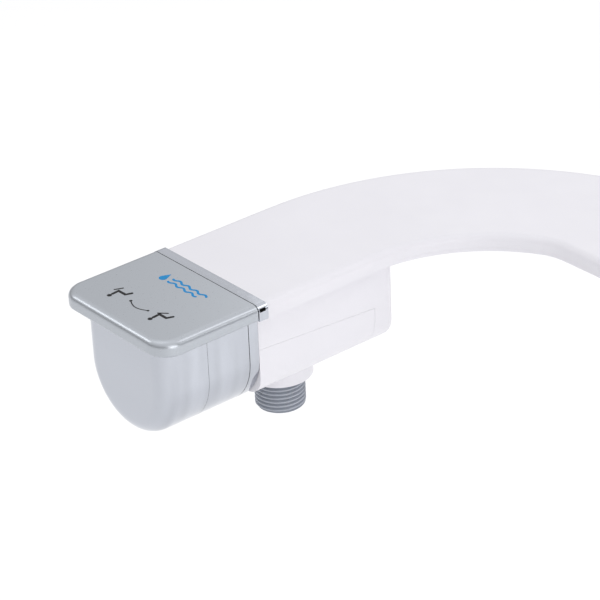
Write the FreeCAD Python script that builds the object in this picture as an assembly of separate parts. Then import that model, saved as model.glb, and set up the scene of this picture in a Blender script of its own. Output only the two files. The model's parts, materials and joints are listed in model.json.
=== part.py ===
"""Bidet attachment with a side control arm: water valve and turning knob at the arm's end,
two water-driven nozzles behind a guard gate, and two slotted bolt discs under the seat hinges.

Frame, in millimetres: +X to the seated user's left, +Y to the tank, +Z up.
The origin is midway between the two seat bolts, on the plane that rests on the bowl.
"""
import FreeCAD, Part
import math
import os

V = FreeCAD.Vector
os.makedirs("parts", exist_ok=True)

# ---- driving dimensions ------------------------------------------------------------------
TOP_Z = 9.0             # top face of arm, rear bar and knob plate
SKIRT_Z = 1.7           # lower edge of the visible rim
COVER_SPLIT_Z = 3.3     # joint between top cover and bottom cover
UNDERSIDE_Z = 0.8       # underside of the bottom cover
WALL = 2.0              # wall of the white covers
TOP_ROUND = 3.0         # rounding of the covers' upper edge

ARM_WIDTH = 64.1
TURN_R = 98.35          # centre line radius of the turn from arm to rear bar
TURN_X = -122.0
ARM_X = TURN_X - TURN_R
ARM_END_Y = -151.85     # the arm ends here, against the chrome collar
BAR_RIGHT_X = 116.0
BAR_CORNER_R = 26.0
BAR_FRONT_Y = -37.4
INNER_TURN_END = 62.0   # degrees of the inner edge that are concentric with the outer edge
TONGUE_Y = -76.0        # front edge of the tongue over the nozzles
TONGUE_HALF = 34.0      # half the straight length of that front edge
TONGUE_SWEEP = 92.0     # length in X of the S-curve from the bar's edge to the tongue's edge

SEAM_Y = -156.35        # between the turning knob and the fixed collar
SEAM_GAP = 0.3
COLLAR_PROUD = 0.25
RIM_BOTTOM_Z = 2.5
RIM_ROUND = 2.8
PLATE_X = -220.8
PLATE_HALF = 33.15
PLATE_FRONT_Y = -202.85
PLATE_CORNER_R = 9.5

VALVE_X = -220.0        # turning axis of knob and valve, parallel to Y
VALVE_Z = -17.9
BODY_R = 25.3           # knob shell: straight sides this far from the axis, closed by a half round
SHELL_WALL = 2.2
KNOB_FRONT_Y = -198.35
KNOB_SPLIT_Y = -176.65
KNOB_EDGE_R = 7.3

HOUSING_HALF = 25.0     # half width of the white housing, and the height of its flat bottom
HOUSING_BOTTOM_Z = -36.8
HOUSING_CORNER_R = 9.0
HOUSING_REAR_Y = -81.35
HOUSING_REAR_ROUND = 3.0
CAP_SPLIT_Y = -91.75
CAP_LEAN = 2.2          # how far the end cap's joint leans forward over its lowest part
PARTING_Z = -14.7       # height of the housing's parting line at the collar
PARTING_DROP = 0.069    # how much the parting line falls per millimetre towards the tank
SEAM_LINE = 0.08        # open seam between the housing's three pieces
COLLAR_GAP = 0.3        # shadow gap between collar and housing
OPENING_FRONT_Y = -147.0    # opening in the arm's underside that the valve and its hoses pass
OPENING_REAR_Y = -85.5
KNOB_SEAM = 0.12        # open seam between the knob's two shells

INLET_X = -218.6
INLET_Y = -123.6
BOSS_R = 13.9
BOSS_BOTTOM_Z = -45.5
THREAD_R = 20.955 / 2   # G1/2 male thread
THREAD_BOTTOM_Z = -59.6
INLET_BORE_R = 7.4
FITTING_GAP = 0.6       # between the thread's end and the boss
FITTING_BORE_R = 5.0
FITTING_FLANGE = 2.2    # thickness of the flange that sits inside the boss
SHANK_R = 8.0           # plain shank that plugs into the valve body
SHANK_TOP_Z = VALVE_Z - 17.0
NECK_R = 10.5           # the valve body's neck around that shank
NECK_DROP = 22.5

SPINDLE_R = 4.0
SPINDLE_FRONT_Y = -177.0
SPINDLE_FLAT = 3.0      # height of the spindle's flat above its axis
SEAL_PLACES = (-144.5, -140.0)
RUNNING = 0.05          # radial clearance of turning and sliding fits
KNOB_TURN = 45.0        # degrees from off to full flow, each way
STOP_KEY_HALF = 9.0     # half the stop key's width, in degrees about the axis
HUB_FRONT_Y = -181.0
BONNET_R = 12.0
VALVE_BODY_R = 15.0
VALVE_BODY_FRONT_Y = -146.0
CHAMBER_REAR_Y = -108.5
CHAMBER_WALL = 3.5
DISC_R = 10.6           # ceramic valve discs
DISC_THICKNESS = 3.0
FIXED_DISC_Y = CHAMBER_REAR_Y - DISC_THICKNESS
ROTOR_DISC_Y = FIXED_DISC_Y - DISC_THICKNESS
DRIVE_THICKNESS = 3.0   # the spindle's flange that carries the rotor disc round
DRIVE_Y = ROTOR_DISC_Y - DRIVE_THICKNESS - 0.2
DOG_PLACE = 6.2         # two square dogs, this far to each side of the axis
DOG_HALF = 1.4
PORT_R = 7.0            # distance of the valve's ports from its axis
OUTLET_PORT_R = 1.6
PORT_SIDE = PORT_R * math.sin(math.radians(KNOB_TURN))
MANIFOLD_REAR_Y = CHAMBER_REAR_Y + CHAMBER_WALL + 6.0

HOSE_R = 2.1
HOSE_BORE_R = 1.3
HOSE_Z = 4.65
BARB_BORE_R = 0.6
HOSE_BEND_R = 47.0
HOSE_LANES = {"rear": -26.3, "front": -31.4}   # each hose's place in the bar, in front of the bolt disc
CLIP_R = 2.32

SCREW_R = 0.95          # the eight screws that join the covers
SCREW_HEAD_R = 2.7
POST_R = 2.6
PAD_R = 5.5
BOLT_HALF_SPACING = 70.0
BOLT_SLOT_WIDTH = 8.5
BOLT_SLOT_LENGTH = 32.0
BOLT_DISC_R = 20.5
BOLT_FLANGE_R = 23.0
DISC_GAP = 0.3
GRIP_GROOVES = 5        # finger grooves on each side of the bolt discs' slots
GRIP_SPACING = 5.0
GRIP_PLACE = 12.0

NOZZLE_TILT = math.radians(32.0)
NOZZLE_SPREAD = 9.0     # the two nozzles stand this far to each side of the middle
NOZZLE_HALF = NOZZLE_SPREAD + 10.0
MOUTH_Y = -66.0
MOUTH_Z = -40.0
CYLINDER_LENGTH = 62.0
CYLINDER_R = 5.6
NOZZLE_R = 4.0
NOZZLE_STROKE = 40.0
NOZZLE_WALL = 2.4       # wall of the nozzle housing
NOZZLE_FRONT_Y = -71.0  # front wall of the nozzle housing
PISTON_LENGTH = 4.0
GUIDE_LENGTH = 6.0
SPRING_SQUEEZED = 8.0   # room left for the return spring at full stroke
PISTON_REAR = -(GUIDE_LENGTH + SPRING_SQUEEZED + NOZZLE_STROKE + PISTON_LENGTH)     # from the mouth
NOZZLE_BORE_R = 1.6
TIP_LENGTH = 11.0
TIP_SET_BACK = 4.0      # the spray head starts this far behind the mouth
JET_PLACE = 3.0         # the jets, in front of the mouth
JET_SPACING = 1.2
JET_R = 0.35
SPRING_R = 4.8          # centre line radius of the return springs
SPRING_WIRE = 0.54
SPRING_TURNS = 9
AXIS = V(0, -math.cos(NOZZLE_TILT), -math.sin(NOZZLE_TILT))
NOZZLE_X = {"front": NOZZLE_SPREAD, "rear": -NOZZLE_SPREAD}
FEED_Y = MOUTH_Y + 60.0 * math.cos(NOZZLE_TILT)     # where water enters the cylinders from above
FEED_Z = -0.6
FEED_BORE_R = 1.0
FEED_PIPE_R = 2.4
MANIFOLD_LEFT_X = -20.0
GATE_HALF = 22.0
GATE_PIN_Y = -73.2
GATE_PIN_Z = -5.2
GATE_PIN_R = 0.97
EAR_R = 2.6             # rounding of the ears that hold the pin
BARREL_R = 2.1
FLAP_THICKNESS = 1.8
GATE_BOTTOM_Z = -39.6


# ---- small tools -------------------------------------------------------------------------
def box(x0, x1, y0, y1, z0, z1):
    return Part.makeBox(x1 - x0, y1 - y0, z1 - z0, V(x0, y0, z0))


def rod(start, direction, radius, length):
    return Part.makeCylinder(radius, length, start, direction)


def tube(start, direction, outer, inner, length):
    return rod(start, direction, outer, length).cut(rod(start, direction, inner, length))


def join(first, *others):
    return first.fuse(list(others)).removeSplitter()


def closed_face(edges):
    return Part.Face(Part.Wire(edges))


def prism(face, z0, z1):
    solid = face.extrude(V(0, 0, z1 - z0))
    solid.translate(V(0, 0, z0))
    return solid


def save(shape, node):
    shape.exportStep(f"parts/{node}.step")
    print(f"{node:24s} solids {len(shape.Solids):2d}  volume {shape.Volume / 1000:8.2f} cm3")


def group(solids):
    return Part.makeCompound(solids)


def edges_at_height(solid, z):
    """The edges that lie wholly in the level plane at z."""
    return [e for e in solid.Edges
            if abs(e.BoundBox.ZMin - z) < 1e-3 and abs(e.BoundBox.ZMax - z) < 1e-3]


# ---- outlines ----------------------------------------------------------------------------
class Pen:
    """Draws a level outline from lines and tangent arcs, by turtle moves."""

    def __init__(self, x, y, heading):
        self.at = V(x, y, 0)
        self.heading = math.radians(heading)
        self.edges = []

    def line(self, length):
        end = self.at + V(math.cos(self.heading), math.sin(self.heading), 0) * length
        self.edges.append(Part.makeLine(self.at, end))
        self.at = end

    def line_to(self, x, y):
        end = V(x, y, 0)
        self.edges.append(Part.makeLine(self.at, end))
        self.at = end

    def arc(self, radius, turn):
        """Turns by so many degrees, positive to the left."""
        side = 1 if turn > 0 else -1
        angle = math.radians(turn)
        left = V(-math.sin(self.heading), math.cos(self.heading), 0) * side
        centre = self.at + left * radius

        def on_arc(part):
            a = self.heading + angle * part
            return centre - V(-math.sin(a), math.cos(a), 0) * side * radius

        middle, end = on_arc(0.5), on_arc(1.0)
        self.edges.append(Part.Arc(self.at, middle, end).toShape())
        self.at = end
        self.heading += angle


def sweep_arc():
    """Radius and angle of each half of the S-curve between bar edge and tongue edge."""
    drop = BAR_FRONT_Y - TONGUE_Y
    angle = 2 * math.atan2(drop, TONGUE_SWEEP)
    return TONGUE_SWEEP / (2 * math.sin(angle)), math.degrees(angle)


def cover_outline(front_y):
    """Plan of arm, turn, rear bar and tongue. The arm's end is a straight cut at front_y."""
    outer_r = TURN_R + ARM_WIDTH / 2
    inner_r = TURN_R - ARM_WIDTH / 2
    bar_rear = ARM_WIDTH / 2
    turn_y = -TURN_R
    rest = 90.0 - INNER_TURN_END
    inner_end_y = turn_y + inner_r * math.sin(math.radians(INNER_TURN_END))
    blend_r = (BAR_FRONT_Y - inner_end_y) / (1 - math.cos(math.radians(rest)))
    sweep_r, sweep_turn = sweep_arc()
    sweep_start_x = -TONGUE_HALF - TONGUE_SWEEP
    inner_end_x = TURN_X - inner_r * math.cos(math.radians(INNER_TURN_END))
    blend_end_x = inner_end_x + blend_r * math.sin(math.radians(rest))

    pen = Pen(ARM_X + ARM_WIDTH / 2, front_y, 90)
    pen.line(turn_y - front_y)
    pen.arc(inner_r, -INNER_TURN_END)
    pen.arc(blend_r, -rest)
    pen.line(sweep_start_x - blend_end_x)
    pen.arc(sweep_r, -sweep_turn)
    pen.arc(sweep_r, sweep_turn)
    pen.line(2 * TONGUE_HALF)
    pen.arc(sweep_r, sweep_turn)
    corner_run = BAR_CORNER_R * (1 - math.sin(pen.heading))
    pen.line((BAR_RIGHT_X - corner_run - pen.at.x) / math.cos(pen.heading))
    pen.arc(BAR_CORNER_R, 90 - math.degrees(pen.heading))
    pen.line(bar_rear - BAR_CORNER_R - pen.at.y)
    pen.arc(BAR_CORNER_R, 90)
    pen.line(pen.at.x - TURN_X)
    pen.arc(outer_r, 90)
    pen.line(pen.at.y - front_y)
    pen.line_to(ARM_X + ARM_WIDTH / 2, front_y)
    return closed_face(pen.edges)


def inset(face, distance):
    return face.makeOffset2D(-distance, join=2)


def u_prism(radius, y0, y1, top_z):
    """Straight sides and a half-round bottom about the valve's axis, along Y."""
    left = V(VALVE_X - radius, y0, VALVE_Z)
    right = V(VALVE_X + radius, y0, VALVE_Z)
    left_top = V(VALVE_X - radius, y0, top_z)
    right_top = V(VALVE_X + radius, y0, top_z)
    bottom = V(VALVE_X, y0, VALVE_Z - radius)
    edges = [Part.makeLine(left_top, left), Part.Arc(left, bottom, right).toShape(),
             Part.makeLine(right, right_top), Part.makeLine(right_top, left_top)]
    return closed_face(edges).extrude(V(0, y1 - y0, 0))


def housing_prism(shrink, y0, y1, top_z):
    """The housing's section, flat below with two rounded corners, shrunk all round, along Y."""
    block = box(VALVE_X - HOUSING_HALF + shrink, VALVE_X + HOUSING_HALF - shrink, y0, y1,
                HOUSING_BOTTOM_Z + shrink, top_z)
    corners = [e for e in block.Edges
               if e.BoundBox.YLength > 1 and e.BoundBox.ZMax < HOUSING_BOTTOM_Z + shrink + 1]
    return block.makeFillet(HOUSING_CORNER_R - shrink, corners)


def plate_block(half, y_front, y_rear, z0, z1, corner):
    """A slab with its two front corners rounded."""
    slab = box(PLATE_X - half, PLATE_X + half, y_front, y_rear, z0, z1)
    if corner <= 0:
        return slab
    corners = [e for e in slab.Edges
               if abs(e.BoundBox.YMax - y_front) < 1e-3 and e.BoundBox.ZLength > (z1 - z0) * 0.9]
    return slab.makeFillet(corner, corners)


# ---- covers ------------------------------------------------------------------------------
def bolt_places():
    return {"left": V(BOLT_HALF_SPACING, 0, 0), "right": V(-BOLT_HALF_SPACING, 0, 0)}


def make_top_cover():
    spare = 12.0
    long_plan = cover_outline(ARM_END_Y - spare)
    skin = prism(long_plan, COVER_SPLIT_Z, TOP_Z)
    skin = skin.makeFillet(TOP_ROUND, [e for e in edges_at_height(skin, TOP_Z)
                                       if e.BoundBox.YMax > ARM_END_Y - spare + 1])
    skin = skin.cut(prism(inset(long_plan, WALL), COVER_SPLIT_Z - 1, TOP_Z - WALL))
    skin = skin.cut(box(-400, 0, -400, ARM_END_Y, -50, 50))
    for place in bolt_places().values():
        skin = skin.cut(rod(place, V(0, 0, 1), BOLT_FLANGE_R + DISC_GAP, 30))
    post_z = COVER_SPLIT_Z - 0.8
    posts = [tube(V(x, y, post_z), V(0, 0, 1), POST_R, SCREW_R + 0.05, TOP_Z - WALL - post_z)
             for x, y in cover_screw_places()]
    return join(skin, *posts)


def cover_screw_places():
    turn = TURN_R + 19.0
    side = math.radians(45)
    return [(ARM_X - 22.0, -68.0), (ARM_X + 24.0, -70.0),
            (TURN_X - turn * math.cos(side), -TURN_R + turn * math.sin(side)),
            (-118.0, 22.0), (0.0, 24.0), (102.0, 10.0), (34.0, -52.0), (-34.0, -52.0)]


def make_bottom_cover():
    plan = cover_outline(ARM_END_Y)
    rim = prism(inset(plan, 0.15), SKIRT_Z, COVER_SPLIT_Z - 0.1)
    base = prism(inset(plan, 3.5), UNDERSIDE_Z, SKIRT_Z)
    cover = join(rim, base)
    cover = cover.cut(prism(inset(plan, 3.4), UNDERSIDE_Z + 1.5, 20))
    shelf_top = TOP_Z - 2.9
    for place in bolt_places().values():
        base_point = place + V(0, 0, UNDERSIDE_Z)
        cover = join(cover, rod(base_point, V(0, 0, 1), BOLT_FLANGE_R + DISC_GAP, shelf_top - UNDERSIDE_Z))
        cover = cover.cut(rod(place, V(0, 0, 1), BOLT_DISC_R + DISC_GAP, 30))
    opening_half = HOUSING_HALF - 5.0
    cover = cover.cut(box(VALVE_X - opening_half, VALVE_X + opening_half,
                          OPENING_FRONT_Y, OPENING_REAR_Y, -5, 20))
    for x in NOZZLE_X.values():
        cover = cover.cut(rod(V(x, FEED_Y, -5), V(0, 0, 1), FEED_PIPE_R + 0.2, 20))
    for x, y in cover_screw_places():
        cover = join(cover, rod(V(x, y, UNDERSIDE_Z), V(0, 0, 1), 3.6, 1.7))
        cover = cover.cut(rod(V(x, y, -1), V(0, 0, 1), 1.6, 10))
        cover = cover.cut(rod(V(x, y, UNDERSIDE_Z - 1), V(0, 0, 1), SCREW_HEAD_R + 0.2, 1.8))
    for x, y in pad_places():
        cover = cover.cut(rod(V(x, y, UNDERSIDE_Z), V(0, 0, 1), PAD_R, 0.7))
    return cover


def make_cover_screws():
    screws = []
    for x, y in cover_screw_places():
        head = rod(V(x, y, UNDERSIDE_Z), V(0, 0, 1), SCREW_HEAD_R, 0.8)
        shank = rod(V(x, y, UNDERSIDE_Z + 0.8), V(0, 0, 1), SCREW_R, 4.6)
        screw = join(head, shank)
        for turn in (0, 90):
            slot = box(-1.6, 1.6, -0.3, 0.3, -1, 0.45)
            slot.rotate(V(0, 0, 0), V(0, 0, 1), turn)
            slot.translate(V(x, y, UNDERSIDE_Z))
            screw = screw.cut(slot)
        screws.append(screw)
    return group(screws)


def pad_places():
    return [(-140.0, 2.0), (-38.0, 22.0), (38.0, 22.0), (104.0, -8.0), (-60.0, -40.0), (60.0, -40.0)]


def make_pads():
    pads = []
    for x, y in pad_places():
        pad = rod(V(x, y, 0), V(0, 0, 1), PAD_R - 0.05, UNDERSIDE_Z + 0.7)
        pads.append(pad.makeFillet(0.35, edges_at_height(pad, 0)))
    return group(pads)


def make_bolt_disc(place):
    flange_z = TOP_Z - 2.7
    body = rod(place, V(0, 0, 1), BOLT_DISC_R, flange_z + 0.5)
    flange = rod(place + V(0, 0, flange_z), V(0, 0, 1), BOLT_FLANGE_R, 2.5)
    flange = flange.makeFillet(0.6, edges_at_height(flange, flange_z + 2.5))
    disc = join(body, flange)
    half = BOLT_SLOT_LENGTH / 2 - BOLT_SLOT_WIDTH / 2
    slot = join(box(-half, half, -BOLT_SLOT_WIDTH / 2, BOLT_SLOT_WIDTH / 2, -5, 20),
                rod(V(-half, 0, -5), V(0, 0, 1), BOLT_SLOT_WIDTH / 2, 25),
                rod(V(half, 0, -5), V(0, 0, 1), BOLT_SLOT_WIDTH / 2, 25))
    slot.translate(place)
    disc = disc.cut(slot)
    for side in (-1, 1):
        for step in range(GRIP_GROOVES):
            x = place.x + (step - (GRIP_GROOVES - 1) / 2) * GRIP_SPACING
            y = place.y + side * GRIP_PLACE
            groove = box(x - 0.6, x + 0.6, y - 3.5, y + 3.5, flange_z + 2.0, flange_z + 3.0)
            disc = disc.cut(groove)
    return disc


# ---- valve housing -----------------------------------------------------------------------
def below_parting():
    """Everything under the housing's sloping parting line."""
    slab = box(-320, -120, 0, 140, -120, 0)
    slab.rotate(V(0, 0, 0), V(1, 0, 0), -math.degrees(math.atan(PARTING_DROP)))
    slab.translate(V(0, SEAM_Y, PARTING_Z))
    return slab


def behind_cap_joint():
    """Everything behind the joint between housing and end cap, which leans forward low down."""
    knee_z = HOUSING_BOTTOM_Z + HOUSING_CORNER_R + 3.0
    foot_y = CAP_SPLIT_Y - CAP_LEAN
    outline = [V(0, CAP_SPLIT_Y, 20), V(0, CAP_SPLIT_Y, knee_z), V(0, foot_y, HOUSING_BOTTOM_Z),
               V(0, foot_y, -80), V(0, -40, -80), V(0, -40, 20)]
    solid = Part.Face(Part.makePolygon(outline + outline[:1])).extrude(V(200, 0, 0))
    solid.translate(V(-320, 0, 0))
    return solid


def housing_inside():
    return housing_prism(WALL, ARM_END_Y + WALL, HOUSING_REAR_Y - WALL, UNDERSIDE_Z + 5)


def housing_skin():
    """The whole white housing as one hollow trough, before it is split into its three pieces."""
    outer = housing_prism(0, ARM_END_Y + COLLAR_GAP, HOUSING_REAR_Y, UNDERSIDE_Z)
    rear_edge = [e for e in outer.Edges
                 if abs(e.BoundBox.YMin - HOUSING_REAR_Y) < 1e-3
                 and abs(e.BoundBox.YMax - HOUSING_REAR_Y) < 1e-3
                 and e.BoundBox.ZMin < UNDERSIDE_Z - 1]
    outer = outer.makeFillet(HOUSING_REAR_ROUND, rear_edge)
    skin = outer.cut(housing_inside())
    return skin.cut(rod(V(VALVE_X, -170, VALVE_Z), V(0, 1, 0), BONNET_R + 0.2, 30))


def make_housing():
    return housing_skin().cut(below_parting()).cut(behind_cap_joint())


def make_housing_cover():
    low = below_parting()
    low.translate(V(0, 0, -SEAM_LINE))
    cap_zone = behind_cap_joint()
    cap_zone.translate(V(0, -SEAM_LINE, 0))
    low_skin = housing_skin().common(low).cut(cap_zone)
    boss_height = HOUSING_BOTTOM_Z + WALL - BOSS_BOTTOM_Z
    boss = rod(V(INLET_X, INLET_Y, BOSS_BOTTOM_Z), V(0, 0, 1), BOSS_R, boss_height)
    boss = boss.makeFillet(0.6, edges_at_height(boss, BOSS_BOTTOM_Z))
    cover = join(low_skin, boss)
    cover = cover.cut(rod(V(INLET_X, INLET_Y, BOSS_BOTTOM_Z + WALL), V(0, 0, 1), BOSS_R - WALL, 20))
    cover = cover.cut(rod(V(INLET_X, INLET_Y, BOSS_BOTTOM_Z - 1), V(0, 0, 1), THREAD_R - 0.5, 10))
    return cover


def make_end_cap():
    return housing_skin().common(behind_cap_joint())


def make_collar():
    """Chrome trim between knob and arm, with a thin face that the knob turns against."""
    half = PLATE_HALF + COLLAR_PROUD
    spare = 10.0
    rim = plate_block(half, SEAM_Y - spare, ARM_END_Y + spare, RIM_BOTTOM_Z, TOP_Z, 0)
    long_edges = [e for e in edges_at_height(rim, TOP_Z) if e.BoundBox.YLength > 5]
    rim = rim.makeFillet(RIM_ROUND, long_edges)
    rim = rim.common(box(-320, -120, SEAM_Y, ARM_END_Y, -120, 20))
    collar = join(rim, u_prism(BODY_R, SEAM_Y, ARM_END_Y, RIM_BOTTOM_Z + 1))
    behind = SEAM_Y + 1.5
    hollow = box(PLATE_X - half + 3.4, PLATE_X + half - 3.4, behind, 0, RIM_BOTTOM_Z + 1.2, TOP_Z - 1.8)
    collar = collar.cut(hollow)
    collar = collar.cut(u_prism(BODY_R - 1.8, behind, 0, RIM_BOTTOM_Z + 2.0))
    collar = collar.cut(rod(V(VALVE_X, -170, VALVE_Z), V(0, 1, 0), BONNET_R + 0.2, 30))
    notch_x = PLATE_X + half
    notch = box(notch_x - 1.5, notch_x + 1, SEAM_Y + 0.4, SEAM_Y + 3.3, 6.3, 7.6)
    return collar.cut(notch)


# ---- knob --------------------------------------------------------------------------------
def make_knob_plate():
    rear = SEAM_Y - SEAM_GAP
    spare = 10.0
    slab = plate_block(PLATE_HALF, PLATE_FRONT_Y, rear + spare, RIM_BOTTOM_Z, TOP_Z, PLATE_CORNER_R)
    rim_edges = [e for e in edges_at_height(slab, TOP_Z) if e.BoundBox.YMin < rear]
    slab = slab.makeFillet(RIM_ROUND, rim_edges)
    low_edges = [e for e in edges_at_height(slab, RIM_BOTTOM_Z) if e.BoundBox.YMin < rear]
    slab = slab.makeFillet(1.0, low_edges)
    slab = slab.common(box(-320, -120, -260, rear, -50, 50))
    pocket = plate_block(PLATE_HALF - 2.6, PLATE_FRONT_Y + 2.6, rear - 1.6, RIM_BOTTOM_Z - 1,
                         TOP_Z - 2.0, PLATE_CORNER_R - 2.6)
    return slab.cut(pocket)


def knob_shell():
    outer = u_prism(BODY_R, KNOB_FRONT_Y, SEAM_Y - SEAM_GAP, RIM_BOTTOM_Z)
    front_edges = [e for e in outer.Edges if abs(e.BoundBox.YMax - KNOB_FRONT_Y) < 1e-3
                   and e.BoundBox.ZMin < RIM_BOTTOM_Z - 1]
    outer = outer.makeFillet(KNOB_EDGE_R, front_edges)
    inner = u_prism(BODY_R - SHELL_WALL, KNOB_FRONT_Y + SHELL_WALL, SEAM_Y + 5, RIM_BOTTOM_Z + 5)
    inner_edges = [e for e in inner.Edges
                   if abs(e.BoundBox.YMax - KNOB_FRONT_Y - SHELL_WALL) < 1e-3
                   and e.BoundBox.ZMin < RIM_BOTTOM_Z - 1]
    inner = inner.makeFillet(KNOB_EDGE_R - SHELL_WALL, inner_edges)
    return outer.cut(inner)


def make_knob_shell_front():
    return knob_shell().common(box(-320, -120, -260, KNOB_SPLIT_Y - KNOB_SEAM / 2, -100, 50))


def make_knob_shell_rear():
    return knob_shell().common(box(-320, -120, KNOB_SPLIT_Y + KNOB_SEAM / 2, 0, -100, 50))


def d_shape(radius, flat, y0, y1):
    """A round bar along the valve's axis with one flat on top."""
    bar = rod(V(VALVE_X, y0, VALVE_Z), V(0, 1, 0), radius, y1 - y0)
    return bar.cut(box(VALVE_X - 20, VALVE_X + 20, y0, y1, VALVE_Z + flat, VALVE_Z + 20))


def make_knob_carrier():
    """Inner frame of the knob: lid flange, rear wall and the hub that grips the spindle."""
    rear = SEAM_Y - SEAM_GAP - 0.2
    flange_half = PLATE_HALF - 2.7
    flange = plate_block(flange_half, PLATE_FRONT_Y + 2.7, rear - 1.6, RIM_BOTTOM_Z,
                         RIM_BOTTOM_Z + 2.0, PLATE_CORNER_R - 2.7)
    wall = u_prism(BODY_R - SHELL_WALL - 0.1, rear - 3.0, rear, RIM_BOTTOM_Z)
    hub = rod(V(VALVE_X, HUB_FRONT_Y, VALVE_Z), V(0, 1, 0), 8.0, rear - HUB_FRONT_Y)
    web = box(VALVE_X - 1.2, VALVE_X + 1.2, KNOB_FRONT_Y + 9.0, rear - 2.0, VALVE_Z + 6.0, RIM_BOTTOM_Z + 1.0)
    carrier = join(flange, wall, hub, web)
    carrier = carrier.cut(rod(V(VALVE_X, -185.0, VALVE_Z), V(0, 1, 0), 2.0, 20.0))
    return carrier.cut(d_shape(SPINDLE_R + RUNNING, SPINDLE_FLAT + RUNNING, SPINDLE_FRONT_Y, SEAM_Y + 5))


def make_knob_screw():
    head = rod(V(VALVE_X, HUB_FRONT_Y - 2.0, VALVE_Z), V(0, 1, 0), 3.6, 2.0)
    shank = rod(V(VALVE_X, HUB_FRONT_Y, VALVE_Z), V(0, 1, 0), 1.5, 14.0)
    screw = join(head, shank)
    for turn in (0, 90):
        slot = box(-2.1, 2.1, -1, 1.0, -0.4, 0.4)
        slot.rotate(V(0, 0, 0), V(0, 1, 0), turn)
        slot.translate(V(VALVE_X, HUB_FRONT_Y - 2.0, VALVE_Z))
        screw = screw.cut(slot)
    return screw


def sector(radius, half_angle, y0, y1):
    """A wedge about the valve's axis, centred on the upward direction."""
    a = math.radians(half_angle)
    reach = radius / math.cos(min(a, math.radians(80)))
    points = [V(VALVE_X, y0, VALVE_Z),
              V(VALVE_X + reach * math.sin(a), y0, VALVE_Z + reach * math.cos(a)),
              V(VALVE_X, y0, VALVE_Z + 2 * radius),
              V(VALVE_X - reach * math.sin(a), y0, VALVE_Z + reach * math.cos(a))]
    return Part.Face(Part.makePolygon(points + points[:1])).extrude(V(0, y1 - y0, 0))


def make_spindle():
    shaft = rod(V(VALVE_X, SPINDLE_FRONT_Y, VALVE_Z), V(0, 1, 0), SPINDLE_R, DRIVE_Y - SPINDLE_FRONT_Y)
    flat = box(VALVE_X - 20, VALVE_X + 20, SPINDLE_FRONT_Y - 1, SEAM_Y + 0.5,
               VALVE_Z + SPINDLE_FLAT, VALVE_Z + 20)
    shaft = shaft.cut(flat)
    drive = rod(V(VALVE_X, DRIVE_Y, VALVE_Z), V(0, 1, 0), DISC_R, DRIVE_THICKNESS)
    notch = sector(14.0, KNOB_TURN + STOP_KEY_HALF + 1.0, DRIVE_Y - 1, DRIVE_Y + 4)
    keep = rod(V(VALVE_X, DRIVE_Y - 2, VALVE_Z), V(0, 1, 0), 7.8, 8)
    drive = drive.cut(notch.cut(keep))
    spindle = join(shaft, drive)
    for side in (-1, 1):
        dog_x = VALVE_X + side * DOG_PLACE
        dog = box(dog_x - DOG_HALF, dog_x + DOG_HALF, DRIVE_Y + 2.5, DRIVE_Y + 4.8,
                  VALVE_Z - DOG_HALF, VALVE_Z + DOG_HALF)
        spindle = join(spindle, dog)
    for y in SEAL_PLACES:
        spindle = spindle.cut(tube(V(VALVE_X, y - 1.0, VALVE_Z), V(0, 1, 0), 6.0, 2.9, 2.0))
    return spindle.cut(rod(V(VALVE_X, SPINDLE_FRONT_Y - 1, VALVE_Z), V(0, 1, 0), 1.55, 12.0))


def make_spindle_seals():
    seals = []
    for y in SEAL_PLACES:
        ring = tube(V(VALVE_X, y - 0.8, VALVE_Z), V(0, 1, 0), SPINDLE_R + 0.03, 2.95, 1.6)
        seals.append(ring.makeFillet(0.3, [e for e in ring.Edges if e.Length > 20]))
    return group(seals)


def make_rotor_disc():
    disc = rod(V(VALVE_X, ROTOR_DISC_Y, VALVE_Z), V(0, 1, 0), DISC_R - 0.1, DISC_THICKNESS - 0.05)
    half = DOG_HALF + 0.1
    for side in (-1, 1):
        pocket_x = VALVE_X + side * DOG_PLACE
        disc = disc.cut(box(pocket_x - half, pocket_x + half, ROTOR_DISC_Y - 1, ROTOR_DISC_Y + 2.0,
                            VALVE_Z - half, VALVE_Z + half))
    port = rod(V(VALVE_X, ROTOR_DISC_Y - 1, VALVE_Z + PORT_R), V(0, 1, 0), OUTLET_PORT_R + 0.3, 6)
    return disc.cut(port)


def make_fixed_disc():
    disc = rod(V(VALVE_X, FIXED_DISC_Y, VALVE_Z), V(0, 1, 0), DISC_R + 0.1, DISC_THICKNESS)
    for turn in (-KNOB_TURN, KNOB_TURN):
        disc = disc.cut(outlet_port(turn, FIXED_DISC_Y - 1, FIXED_DISC_Y + 4))
    return disc


def outlet_port(turn, y0, y1):
    a = math.radians(turn)
    x = VALVE_X + PORT_R * math.sin(a)
    z = VALVE_Z + PORT_R * math.cos(a)
    return rod(V(x, y0, z), V(0, 1, 0), OUTLET_PORT_R, y1 - y0)


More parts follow.
